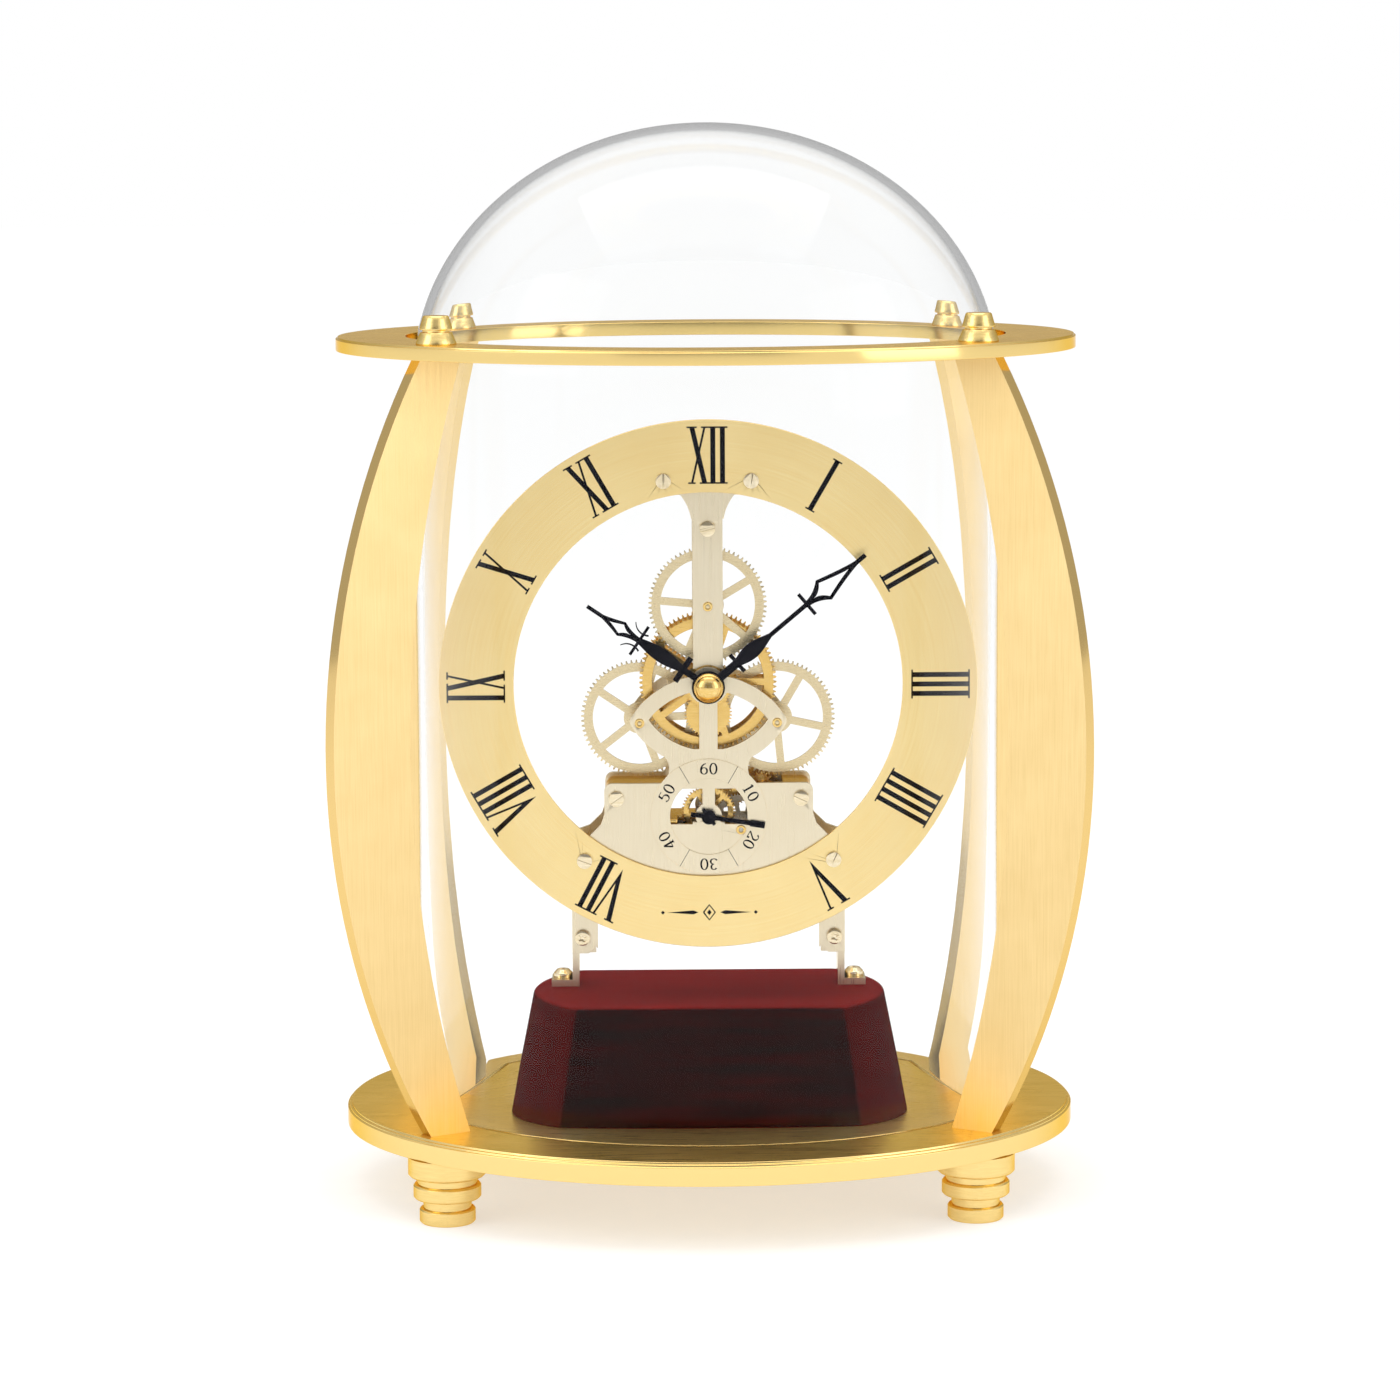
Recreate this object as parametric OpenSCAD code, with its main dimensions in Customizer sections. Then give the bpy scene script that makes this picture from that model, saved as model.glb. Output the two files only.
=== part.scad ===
// Skeleton mantel clock: oval brass frame, glass dome, open quartz movement on a wooden plinth.
// Front faces -Y, up is +Z, origin on the table under the middle of the base plate.

/* [Frame] */
// Half width of the oval base plate and top ring
frame_a = 101.8; // [98:0.2:108]
// Half depth of the oval base plate and top ring
frame_b = 82.4; // [80:0.2:88]
// Thickness of the base plate
base_t = 6.3; // [5:0.1:8]
// Thickness of the top ring
ring_t = 3.8; // [3:0.1:5]
// Height of the bowed pillars
pillar_h = 210.2; // [205:0.2:215]
// Thickness of the bowed pillars
pillar_t = 4.8; // [4.6:0.1:5.6]
// Width of a pillar at its ends
pillar_end_w = 12.2; // [11:0.1:13]
// How far the outer edge of a pillar bows out
pillar_outer_bow = 27.6; // [25:0.1:28]
// How far the inner edge of a pillar bows out
pillar_inner_bow = 16.9; // [15:0.1:18]
// Height of the turned feet
foot_h = 18.4; // [16:0.1:20]

/* [Dome] */
// Outer half width of the glass dome
dome_a = 80.8; // [80:0.1:81]
// Outer half depth of the glass dome
dome_b = 63.3; // [62.5:0.1:64]
// Thickness of the glass
glass_t = 2; // [1.6:0.1:2.4]
// Height of the rounded crown of the dome
crown_h = 70.4; // [66:0.2:74]
// How far the dome stands above the top ring
dome_above_ring = 57.7; // [54:0.1:60]

/* [Plinth] */
// Height of the wooden plinth
plinth_h = 30.6; // [28:0.1:32]
// Width of the plinth at its foot
plinth_w = 110; // [106:0.5:114]
// Depth of the plinth at its foot
plinth_d = 57.6; // [55:0.2:60]

/* [Dial] */
// Outer radius of the dial ring
dial_r = 72.8; // [72:0.1:74]
// Inner radius of the dial ring
dial_hole_r = 53; // [52.5:0.1:53.5]
// Thickness of the dial ring
dial_t = 1.2; // [1:0.1:1.4]

/* [Hands] */
// Hour shown, counted from twelve
time_hour = 10; // [0:1:11]
// Minute shown
time_minute = 8.3; // [0:0.1:59.9]
// Second shown
time_second = 16.5; // [0:0.5:59.5]

/* [Gears] */
// Module of the large wheels and their pinions
big_m = 0.44; // [0.43:0.01:0.45]
// Thickness of a wheel
wheel_t = 0.8; // [0.6:0.1:0.9]

/* [Hidden] */
$fn = 96;
eps = 0.01;

// Heights of the frame
base_z = foot_h;
deck_z = base_z + base_t;
ring_z = deck_z + pillar_h;
ring_top = ring_z + ring_t;
dome_top = ring_top + dome_above_ring;

// Pillars, with their ends on a smaller oval and turned to point outwards
pillar_x = 72;
pillar_y = 45;
pillar_turn = 31.5;
CORNERS = [[-1, -1], [1, -1], [-1, 1], [1, 1]];
stud_r = 1.5;
stud_fit = 0.03;
stud_reach = 11;
tap_depth = 12;

// Dome seat
seat_gap = 0.5;
groove_depth = 2;

// Plinth
plinth_front_w = 82.6;
plinth_taper = 0.895;
plinth_depth_share = 0.6;
plinth_screw_x = 25;
plinth_round = 2.2;
plinth_top = deck_z + plinth_h;
screw_sink = 2.6;
wood_screw_r = 1.75;
wood_head_r = 3.6;

// Movement: centre of the hands and depths of the plates, from the front
centre_z = 143.8;
plate_t = 1.5;
front_y = -20;
back_y = 1;
front_inside = front_y + plate_t;
dial_front = front_y - dial_t;

// Level of each train of wheels, as the front face of the wheel
hour_level = -18.3;
motion_level = -17.1;
upper_level = -16;
front_wheel_level = -14.6;
seconds_level = -12.4;
side_level = -9.4;
reduction_level = -7.6;
rear_wheel_level = -5.6;
transfer_level = -3.4;

// Teeth
small_m = 0.3;
fine_m = 0.28;
motor_m = 0.26;
centre_teeth = 84;
side_teeth = 72;
side_pinion = 14;
cannon_teeth = 14;
motion_teeth = 42;
motion_pinion = 12;
hour_teeth = 48;
drive_pinion = 12;
seconds_teeth = 48;
seconds_pinion = 18;
idler_teeth = 32;
transfer_teeth = 30;
reduction_teeth = 60;
reduction_pinion = 16;
rotor_teeth = 6;

// Places of the arbors, seen from the front as [x, z]
function polar(c, r, a) = [c[0] + r * cos(a), c[1] + r * sin(a)];
function bearing(a, b) = atan2(b[1] - a[1], b[0] - a[0]);
function mesh_r(za, zb, m) = (za + zb) * m / 2;
function meet(a, ra, b, rb, side) =
    let(d = norm(b - a), k = (ra * ra - rb * rb + d * d) / (2 * d), h = sqrt(ra * ra - k * k),
        u = (b - a) / d)
    a + k * u + side * h * [-u[1], u[0]];
side_reach = mesh_r(centre_teeth, side_pinion, big_m);
CENTRE = [0, centre_z];
UPPER = CENTRE + [0, side_reach];
LEFT = polar(CENTRE, side_reach, 209.3);
RIGHT = polar(CENTRE, side_reach, 330.7);
MOTION = CENTRE - [0, mesh_r(cannon_teeth, motion_teeth, small_m)];
SECONDS = [0, 107.3];
TRANSFER = polar(RIGHT, mesh_r(side_teeth, drive_pinion, big_m), 256.9);
IDLER = meet(SECONDS, mesh_r(seconds_pinion, idler_teeth, small_m),
    TRANSFER, mesh_r(transfer_teeth, idler_teeth, small_m), 1);
REDUCTION = polar(SECONDS, mesh_r(seconds_teeth, reduction_pinion, small_m), -23.2);
ROTOR = polar(REDUCTION, mesh_r(reduction_teeth, rotor_teeth, motor_m), -21.6);

// Turn of each wheel at which its teeth sit in the gaps of the one that it meshes with
function mate(pa, za, zb, phi) = phi + 180 + (phi - pa) * za / zb + 180 / zb;
centre_turn = 0;
upper_turn = mate(centre_turn, centre_teeth, side_pinion, 90);
left_turn = mate(centre_turn, centre_teeth, side_pinion, bearing(CENTRE, LEFT));
right_turn = mate(centre_turn, centre_teeth, side_pinion, bearing(CENTRE, RIGHT));
motion_turn = mate(centre_turn, cannon_teeth, motion_teeth, -90);
hour_turn = mate(motion_turn, motion_pinion, hour_teeth, 90);
transfer_turn = mate(right_turn, side_teeth, drive_pinion, bearing(RIGHT, TRANSFER));
idler_turn = mate(transfer_turn, transfer_teeth, idler_teeth, bearing(TRANSFER, IDLER));
seconds_turn = mate(idler_turn, idler_teeth, seconds_pinion, bearing(IDLER, SECONDS));
reduction_turn = mate(seconds_turn, seconds_teeth, reduction_pinion, bearing(SECONDS, REDUCTION));
rotor_turn = mate(reduction_turn, reduction_teeth, rotor_teeth, bearing(REDUCTION, ROTOR));

// Hands
hour_angle = 30 * (time_hour + time_minute / 60);
minute_angle = 6 * time_minute;
second_angle = 6 * time_second;
hour_hand_y = -23.6;
minute_hand_y = -25.6;
seconds_hand_y = -21.4;
hand_t = 0.5;

// Motor: radius and front of the magnet, foot of the iron core
magnet_r = 1.8;
magnet_y = -5.4;
core_z = 97.6;

// Box of the motor and the battery, its shelf, and the cover over the battery
housing_w = 56.4;
housing_top = 115.5;
housing_low = 79.6;
housing_wall = 1.2;
shelf_z = 96.4;
shelf_t = 1;
battery_r = 7.1;
battery_z = housing_low + housing_wall + battery_r + 0.3;
battery_y = -8.2;
battery_l = 49.2;
cover_w = 51.2;
cover_top = 96;
cover_gap = 0.2;
notch_x = 11.3;
notch_z = 106.3;

// Brackets between the back plate and the plinth
bracket_t = 1.9;
bracket_d = 9.5;
bracket_inner_x = 36.3;
bracket_y = back_y + plate_t;
plates_low = 65;

// Screws, posts and bores of the movement
screw_r = 1.1;
screw_head_r = 2.1;
bush_r = 1.3;
boss_r = 4.9;
seconds_hole_r = 10.6;
arbor_r = 0.6;
pivot_fit = 0.03;
pipe_r = 1.9;
knob_y = 3;
knob_t = 5;
post_r = 2.2;
POSTS = [[-25.3, 112.3], [25.3, 112.3], [0, 186.7], [-34.1, 95.3], [34.1, 95.3]];
DIAL_SCREWS = [[-11.9, 199.9], [11.9, 199.9], [-34.1, 95.3], [34.1, 95.3]];
TOP_POSTS = [DIAL_SCREWS[0], DIAL_SCREWS[1]];
BUSHES = [UPPER, LEFT, RIGHT, REDUCTION];
EARS = [[-35.3, 69.6], [35.3, 69.6]];
foot_screw_x = 41;
foot_screw_y = 7.6;

// ---------- shared shapes ----------

// Draws a flat outline, seen from the front, as a plate whose front face is at y
module facing(y, t) {
    translate([0, y + t, 0]) rotate([90, 0, 0]) linear_extrude(height = t) children();
}

// Places a shape turned about Z so that its axis points to the front, from y backwards
module along_y(p, y) {
    translate([p[0], y, p[1]]) rotate([-90, 0, 0]) children();
}

module rod(p, y0, y1, r) {
    along_y(p, y0) cylinder(h = y1 - y0, r = r);
}

module oval(a, b) {
    scale([a, b]) circle(r = 1, $fn = 180);
}

// Outline of a toothed wheel: each tooth is four points, narrowing from root to tip
module toothed(z, m, turn) {
    pitch = 360 / z;
    root = m * (z / 2 - 1.15);
    tip = m * (z / 2 + 0.82);
    half = [0.26, 0.1];
    rotate(turn) polygon([for (i = [0:z - 1]) for (s = [[root, -half[0]], [tip, -half[1]],
        [tip, half[1]], [root, half[0]]]) s[0] * [cos(pitch * (i + s[1])), sin(pitch * (i + s[1]))]]);
}

// Toothed wheel with five spokes, a rim and a hub
module spoked(z, m, turn, rim, hub, spoke) {
    inner = m * (z / 2 - 1.15) - rim;
    difference() {
        toothed(z, m, turn);
        difference() {
            circle(r = inner);
            circle(r = hub);
            for (i = [0:4]) rotate(turn + 72 * i) translate([0, -spoke / 2]) square([inner + 1, spoke]);
        }
    }
}

module wheel(p, y, z, m, turn, rim = 2.6, hub = 4.6, spoke = 1.9, bore = arbor_r) {
    facing(y, wheel_t) translate(p) difference() {
        spoked(z, m, turn, rim, hub, spoke);
        circle(r = bore);
    }
}

module pinion(p, y, t, z, m, turn, bore = 0) {
    facing(y, t) translate(p) difference() {
        toothed(z, m, turn);
        if (bore > 0) circle(r = bore);
    }
}

// Cheese-head screw facing the front: its head stands in front of y and its shank runs back
module slot_screw(p, y, head_t, shank_l, slot_turn) {
    difference() {
        union() {
            along_y(p, y - head_t) cylinder(h = head_t, r = screw_head_r);
            rod(p, y - eps, y + shank_l, screw_r - 0.03);
        }
        facing(y - head_t - eps, head_t * 0.45) translate(p) rotate(slot_turn)
            square([2 * screw_head_r + 1, 0.58], center = true);
    }
}

// Cross recess of a screw head
module cross_slot(l, w, turn) {
    for (a = [0, 90]) rotate(a + turn) square([l, w], center = true);
}

// ---------- frame ----------

module base_plate() color("goldenrod") difference() {
    union() {
        translate([0, 0, base_z]) linear_extrude(height = base_t - 1.2) oval(frame_a, frame_b);
        translate([0, 0, deck_z - 1.2 - eps]) linear_extrude(height = 0.6 + eps)
            oval(frame_a - 0.5, frame_b - 0.5);
        translate([0, 0, deck_z - 0.6 - eps]) linear_extrude(height = 0.6 + eps)
            oval(frame_a - 1.2, frame_b - 1.2);
    }
    translate([0, 0, deck_z - groove_depth]) linear_extrude(height = groove_depth + eps) difference() {
        oval(dome_a + seat_gap, dome_b + seat_gap);
        oval(dome_a - glass_t - seat_gap, dome_b - glass_t - seat_gap);
    }
    for (c = CORNERS) translate([c[0] * pillar_x, c[1] * pillar_y, base_z - eps])
        cylinder(h = base_t + 2 * eps, r = stud_r + stud_fit);
    for (s = [-1, 1]) translate([s * plinth_screw_x, 0, base_z - eps]) {
        cylinder(h = base_t + 2 * eps, r = wood_screw_r + 0.35);
        cylinder(h = screw_sink + eps, r = wood_head_r + 0.3);
    }
}

// Turned foot with its stud, which passes through the base plate into a pillar
module foot(c) color("gold") translate([c[0] * pillar_x, c[1] * pillar_y, 0]) {
    rotate_extrude() polygon([[0, 0], [7.2, 0], [7.65, 0.5], [7.65, 3.6], [7.3, 4], [6.6, 4], [6.6, 6.8],
        [8.8, 6.8], [9.25, 7.3], [9.25, 10.3], [8.8, 10.8], [8.2, 10.8], [8.2, 13],
        [10.1, 13], [10.65, 13.6], [10.65, foot_h], [0, foot_h]]);
    translate([0, 0, foot_h - eps]) cylinder(h = base_t + stud_reach, r = stud_r);
}

// Bowed pillar: a crescent plate standing on edge, tapped at both ends
module pillar(c) {
    outer_r = (pillar_h * pillar_h / 4 + pow(pillar_outer_bow, 2)) / (2 * pillar_outer_bow);
    inner_r = (pillar_h * pillar_h / 4 + pow(pillar_inner_bow, 2)) / (2 * pillar_inner_bow);
    w = pillar_end_w;
    color("khaki") translate([c[0] * pillar_x, c[1] * pillar_y, deck_z])
        rotate(c[0] > 0 ? c[1] * pillar_turn : 180 - c[1] * pillar_turn) difference() {
        rotate([90, 0, 0]) translate([0, 0, -pillar_t / 2]) linear_extrude(height = pillar_t)
        difference() {
            intersection() {
                translate([-w, 0]) square([w + 60, pillar_h]);
                translate([w / 2 + pillar_outer_bow - outer_r, pillar_h / 2])
                    circle(r = outer_r, $fn = 400);
            }
            translate([-w / 2 + pillar_inner_bow - inner_r, pillar_h / 2]) circle(r = inner_r, $fn = 400);
        }
        for (z = [-eps, pillar_h - tap_depth + eps]) translate([0, 0, z])
            cylinder(h = tap_depth, r = stud_r + stud_fit);
    }
}

module top_ring() color("gold") difference() {
    union() {
        translate([0, 0, ring_z]) linear_extrude(height = ring_t - 0.5) oval(frame_a, frame_b);
        translate([0, 0, ring_z + ring_t - 0.5 - eps]) linear_extrude(height = 0.5 + eps)
            oval(frame_a - 0.5, frame_b - 0.5);
    }
    translate([0, 0, ring_z - eps]) linear_extrude(height = ring_t + 1) oval(82.6, 66);
    for (c = CORNERS) translate([c[0] * pillar_x, c[1] * pillar_y, ring_z - eps])
        cylinder(h = ring_t + 1, r = stud_r + stud_fit);
}

// Two-tier finial nut with its stud, which passes through the top ring into a pillar
module finial(c) color("gold") translate([c[0] * pillar_x, c[1] * pillar_y, ring_top]) {
    rotate_extrude() polygon([[0, 0], [5.4, 0], [5.4, 0.5], [4.25, 3.2], [3.6, 3.3], [3.6, 3.8],
        [4.35, 3.9], [4.35, 4.4], [3.5, 7.3], [3.2, 7.6], [0, 7.6]]);
    translate([0, 0, -ring_t - stud_reach]) cylinder(h = ring_t + stud_reach + eps, r = stud_r);
}

// ---------- dome ----------

function crown_arc(a, h, z0, n) = [for (i = [0:n]) [a * cos(90 * i / n), z0 + h * sin(90 * i / n)]];

module dome_shape(a, b, crown, z0, z1) {
    scale([1, b / a, 1]) rotate_extrude($fn = 120)
        polygon(concat([[0, z0], [a, z0]], crown_arc(a, crown, z1 - crown, 16)));
}

module glass_dome() color("lightcyan", 0.35) difference() {
    dome_shape(dome_a, dome_b, crown_h, deck_z - groove_depth, dome_top);
    dome_shape(dome_a - glass_t, dome_b - glass_t, crown_h - glass_t, deck_z - groove_depth - 1,
        dome_top - glass_t);
}

// ---------- plinth ----------

// Plan of the plinth, straight in front and behind with bowed ends: its width is scaled by k, its depth less
module plinth_plan(k) {
    bow = (plinth_w - plinth_front_w) / 2;
    end_r = (plinth_d * plinth_d / 4 + bow * bow) / (2 * bow);
    scale([k, 1 - (1 - k) * plinth_depth_share]) intersection() {
        square([plinth_w, plinth_d], center = true);
        union() {
            square([plinth_front_w, plinth_d], center = true);
            for (s = [-1, 1]) translate([s * (plinth_w / 2 - end_r), 0]) circle(r = end_r, $fn = 120);
        }
    }
}

module plinth() color("darkred") difference() {
    hull() {
        translate([0, 0, deck_z]) linear_extrude(height = 1) plinth_plan(0.99);
        translate([0, 0, deck_z + 1]) linear_extrude(height = 0.5) plinth_plan(1);
        translate([0, 0, plinth_top - plinth_round]) linear_extrude(height = 0.1)
            plinth_plan(plinth_taper);
        translate([0, 0, plinth_top - plinth_round * 0.35]) linear_extrude(height = 0.1)
            plinth_plan(plinth_taper - 0.018);
        translate([0, 0, plinth_top - 0.1]) linear_extrude(height = 0.1)
            plinth_plan(plinth_taper - 0.055);
    }
    for (s = [-1, 1]) {
        translate([s * plinth_screw_x, 0, deck_z - eps]) cylinder(h = 14, r = wood_screw_r + stud_fit);
        translate([s * foot_screw_x, foot_screw_y, plinth_top - 9]) cylinder(h = 10, r = screw_r);
    }
}

module plinth_screws() color("silver") for (s = [-1, 1]) translate([s * plinth_screw_x, 0, base_z])
    difference() {
        union() {
            translate([0, 0, 0.2]) cylinder(h = screw_sink - 0.2, r = wood_head_r);
            translate([0, 0, screw_sink - eps]) cylinder(h = base_t - screw_sink + 12, r = wood_screw_r);
        }
        translate([0, 0, 0.1]) linear_extrude(height = 1.2) cross_slot(4.2, 0.9, 0);
    }

// ---------- brackets ----------

// Angle bracket: a tab behind the back plate, a leg and a foot turned outwards
module bracket(s) color("palegoldenrod") mirror([s < 0 ? 1 : 0, 0, 0]) difference() {
    union() {
        facing(bracket_y, 1.2) translate([31.5, plates_low]) square([6.7, 11]);
        translate([bracket_inner_x, bracket_y, plinth_top])
            cube([bracket_t, bracket_d, plates_low + 11 - plinth_top]);
        translate([bracket_inner_x, bracket_y, plinth_top]) cube([7.8, bracket_d, bracket_t]);
    }
    rod(EARS[1], bracket_y - 1, bracket_y + 3, screw_r);
    translate([foot_screw_x, foot_screw_y, plinth_top - 1]) cylinder(h = 5, r = screw_r + stud_fit);
}

module bracket_foot_screws() color("gold") for (s = [-1, 1])
    translate([s * foot_screw_x, foot_screw_y, plinth_top + bracket_t]) difference() {
        union() {
            cylinder(h = 1.2, r = 2.65);
            translate([0, 0, 1.2 - eps]) cylinder(h = 1, r1 = 2.65, r2 = 1.7);
            translate([0, 0, -10]) cylinder(h = 10.1, r = screw_r - 0.02);
        }
        translate([0, 0, 1.4]) linear_extrude(height = 1.2) cross_slot(2.6, 0.6, 20);
    }

module bracket_ear_screws() color("gold") for (p = EARS) difference() {
    union() {
        rod(p, back_y - 1.5, back_y, screw_head_r);
        rod(p, back_y - 0.5, bracket_y + 2.6, screw_r - 0.02);
    }
    facing(back_y - 1.6, 1) translate(p) cross_slot(2.4, 0.6, 35);
}

// ---------- plates of the movement ----------

// Lens outline round the centre: two arcs that meet at rounded tips, with a window each side of a bar
module lens_plate(bar) {
    difference() {
        offset(r = 2.2) offset(delta = -2.2) intersection() {
            translate([0, -22.2]) circle(r = 24.9, $fn = 180);
            translate([0, 1.6]) circle(r = 24.7, $fn = 180);
        }
        difference() {
            intersection() {
                translate([0, -22.2]) circle(r = 20.6, $fn = 180);
                translate([0, 1.6]) circle(r = 19.8, $fn = 180);
            }
            translate([-bar / 2, -30]) square([bar, 40]);
            circle(r = boss_r + 0.6);
        }
    }
}

// Neck below the lens: its sides curve in and out again
module neck(top_z, bottom_z, narrow) {
    r = (top_z - bottom_z) / 2;
    difference() {
        translate([-narrow - 4, bottom_z]) square([2 * narrow + 8, 2 * r]);
        for (s = [-1, 1]) translate([s * (narrow + r), bottom_z + r]) circle(r = r);
    }
}

// Shield that carries the seconds display, flaring out behind the dial
module shield() {
    difference() {
        union() {
            hull() for (s = [-1, 1]) {
                translate([s * 26.4, 114.3]) circle(r = 2.2, $fn = 40);
                translate([s * 28.5, 92]) circle(r = 0.1, $fn = 16);
            }
            polygon([[-39, 84], [39, 84], [39, 99.5], [33, 101.6], [29.6, 105], [28.6, 108],
                [-28.6, 108], [-29.6, 105], [-33, 101.6], [-39, 99.5]]);
        }
        translate(SECONDS) intersection() {
            circle(r = seconds_hole_r);
            translate([-12, -2.2]) square([24, 20]);
        }
    }
}

// Bar from the seconds ring down to the bearing of the seconds hand
module seconds_bar() {
    translate(SECONDS) {
        circle(r = 3.6);
        translate([-1.7, 0]) square([3.4, 12]);
        translate([-4.4, -4]) square([8.8, 2.4]);
    }
}

module lower_outline() {
    translate(CENTRE) lens_plate(5);
    translate(CENTRE) circle(r = boss_r);
    neck(126, 115, 10.8);
    shield();
    seconds_bar();
}

// Bridge above the hands: a straight bar that widens where the dial is screwed on
module bridge_outline() {
    translate([-4.1, 148.2]) square([8.2, 50]);
    difference() {
        translate([-15, 189.4]) square([30, 15]);
        for (s = [-1, 1]) translate([s * 17.5, 187.5]) circle(r = 13.2);
    }
    intersection() {
        translate(CENTRE) circle(r = 66);
        translate([-15, 196]) square([30, 14]);
    }
}

module lower_front_plate() color("wheat") facing(front_y, plate_t) difference() {
    lower_outline();
    for (p = [LEFT, RIGHT, REDUCTION]) translate(p) circle(r = bush_r);
    for (p = [POSTS[0], POSTS[1], POSTS[3], POSTS[4]]) translate(p) circle(r = screw_r);
    translate(SECONDS) circle(r = 1 + pivot_fit);
    translate(CENTRE) circle(r = pipe_r + pivot_fit);
}

module upper_bridge() color("wheat") facing(front_y, plate_t) difference() {
    bridge_outline();
    translate(UPPER) circle(r = bush_r);
    translate(POSTS[2]) circle(r = screw_r);
    for (i = [0, 1]) translate(DIAL_SCREWS[i]) circle(r = screw_r);
    translate(CENTRE) circle(r = boss_r + 0.5);
}

module back_plate() color("wheat") facing(back_y, plate_t) difference() {
    union() {
        difference() {
            lower_outline();
            translate([-cover_w / 2 - cover_gap, housing_low - 1])
                square([cover_w + 2 * cover_gap, cover_top - housing_low + 1 + cover_gap]);
        }
        translate([-4.1, 140]) square([8.2, 60]);
        bridge_outline();
        hull() for (p = [IDLER, [10.4, 115]]) translate(p) circle(r = 1.7);
        for (s = [-1, 1]) difference() {
            translate([s * 34.6 - 3.6, plates_low]) square([7.2, 24]);
            translate([s * 31.2, 64.5]) rotate(s * 45) square([4, 3], center = true);
        }
    }
    for (p = [UPPER, LEFT, RIGHT, REDUCTION, TRANSFER, SECONDS, ROTOR]) translate(p)
        circle(r = arbor_r + pivot_fit);
    translate(CENTRE) circle(r = 1 + pivot_fit);
    translate(IDLER) circle(r = 0.6);
    for (p = concat(POSTS, EARS, TOP_POSTS)) translate(p) circle(r = screw_r);
}

module housing_outline() difference() {
    hull() for (s = [-1, 1]) {
        translate([s * (housing_w / 2 - 2.2), housing_top - 2.2]) circle(r = 2.2, $fn = 40);
        translate([s * (housing_w / 2 - 1), housing_low + 1]) circle(r = 1, $fn = 24);
    }
    translate([-notch_x, notch_z]) square([2 * notch_x, housing_top]);
}

// Box behind the shield that holds the motor and the battery: open at the front and back, with a shelf
// between the two, and a notch in its top behind the seconds display
module motor_housing() color("darkgoldenrod") difference() {
    facing(front_inside, back_y - front_inside) housing_outline();
    facing(front_inside - 1, back_y - front_inside + 2) difference() {
        offset(delta = -housing_wall) housing_outline();
        translate([-housing_w / 2, shelf_z]) square([housing_w, shelf_t]);
        for (p = [POSTS[0], POSTS[1]]) translate(p) circle(r = post_r + 1.2);
    }
    translate([-8.5, front_inside - 1, notch_z - 2])
        cube([notch_x + 8.5, seconds_level + 1.6 - front_inside + 1, 3]);
    translate([-3.4, seconds_level + 1, notch_z - 2]) cube([23.8, back_y - seconds_level, 20]);
    translate([REDUCTION[0] - 6, reduction_level - 0.5, shelf_z - 0.5]) cube([12, wheel_t + 1, shelf_t + 1]);
    for (p = [POSTS[0], POSTS[1]]) rod(p, front_inside - 1, back_y + 1, post_r + pivot_fit);
}

module plate_posts() color("gold") {
    for (p = POSTS) rod(p, front_inside, back_y, post_r);
    for (p = TOP_POSTS) rod(p, front_inside, back_y, post_r);
    rod(MOTION, front_inside, motion_level + wheel_t + 0.4, 0.97);
    rod(IDLER, transfer_level - 0.5, back_y + 0.8, 0.57);
}

module plate_screws() color("gold") {
    for (i = [0:2]) slot_screw(POSTS[i], front_y, 1.1, plate_t, [35, -25, 15][i]);
    for (p = concat(POSTS, TOP_POSTS)) mirror([0, 1, 0]) slot_screw(p, -bracket_y, 1.1, plate_t, 10);
}

module plate_bushes() color("darkgoldenrod") for (p = BUSHES) facing(front_y - 0.15, plate_t + 0.15)
    translate(p) difference() {
        circle(r = bush_r - 0.005);
        circle(r = arbor_r + pivot_fit);
    }

// ---------- dials ----------

module dial_ring() color("gold") facing(dial_front, dial_t) difference() {
    translate(CENTRE) circle(r = dial_r, $fn = 240);
    translate(CENTRE) circle(r = dial_hole_r, $fn = 240);
    for (p = DIAL_SCREWS) translate(p) circle(r = screw_r);
}

module dial_screws() color("gold") for (i = [0:3])
    slot_screw(DIAL_SCREWS[i], dial_front, 0.9, dial_t + plate_t, [90, 80, -20, 65][i]);

module seconds_ring() color("khaki") facing(front_y - 0.4, 0.4) difference() {
    translate(SECONDS) circle(r = 16);
    translate(SECONDS) circle(r = seconds_hole_r);
    for (p = BUSHES) translate(p) circle(r = bush_r + 0.2);
}

// ---------- centre train ----------

module centre_arbor() color("silver") {
    rod(CENTRE, minute_hand_y + hand_t + 1.2, knob_y + knob_t - 1, 1);
    rod(CENTRE, minute_hand_y - 2.4, minute_hand_y + hand_t + 1.3, 0.8);
    pinion(CENTRE, motion_level - 0.2, 1.2, cannon_teeth, small_m, centre_turn);
}

module front_centre_wheel() color("orange")
    wheel(CENTRE, front_wheel_level, centre_teeth, big_m, centre_turn, 2.6, 4.6, 1.9, 1);

module rear_centre_wheel() color("orange")
    wheel(CENTRE, rear_wheel_level, centre_teeth, big_m, centre_turn, 2.6, 4.6, 1.9, 1);

module hour_wheel() color("orange") {
    facing(hour_level, 0.7) translate(CENTRE) difference() {
        toothed(hour_teeth, fine_m, hour_turn);
        circle(r = 1.6);
    }
    along_y(CENTRE, hour_hand_y - 0.4) difference() {
        cylinder(h = hour_level - hour_hand_y + 0.6, r = pipe_r);
        translate([0, 0, -1]) cylinder(h = 8, r = 1.05);
    }
}

// Wheel and pinion of the motion work, turning on a stud of the front plate
module motion_wheel() color("orange") {
    facing(motion_level, wheel_t - 0.2) translate(MOTION) difference() {
        toothed(motion_teeth, small_m, motion_turn);
        circle(r = 1);
    }
    pinion(MOTION, hour_level, motion_level - hour_level + 0.1, motion_pinion, fine_m, motion_turn, 1);
}

// ---------- hands ----------

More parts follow.
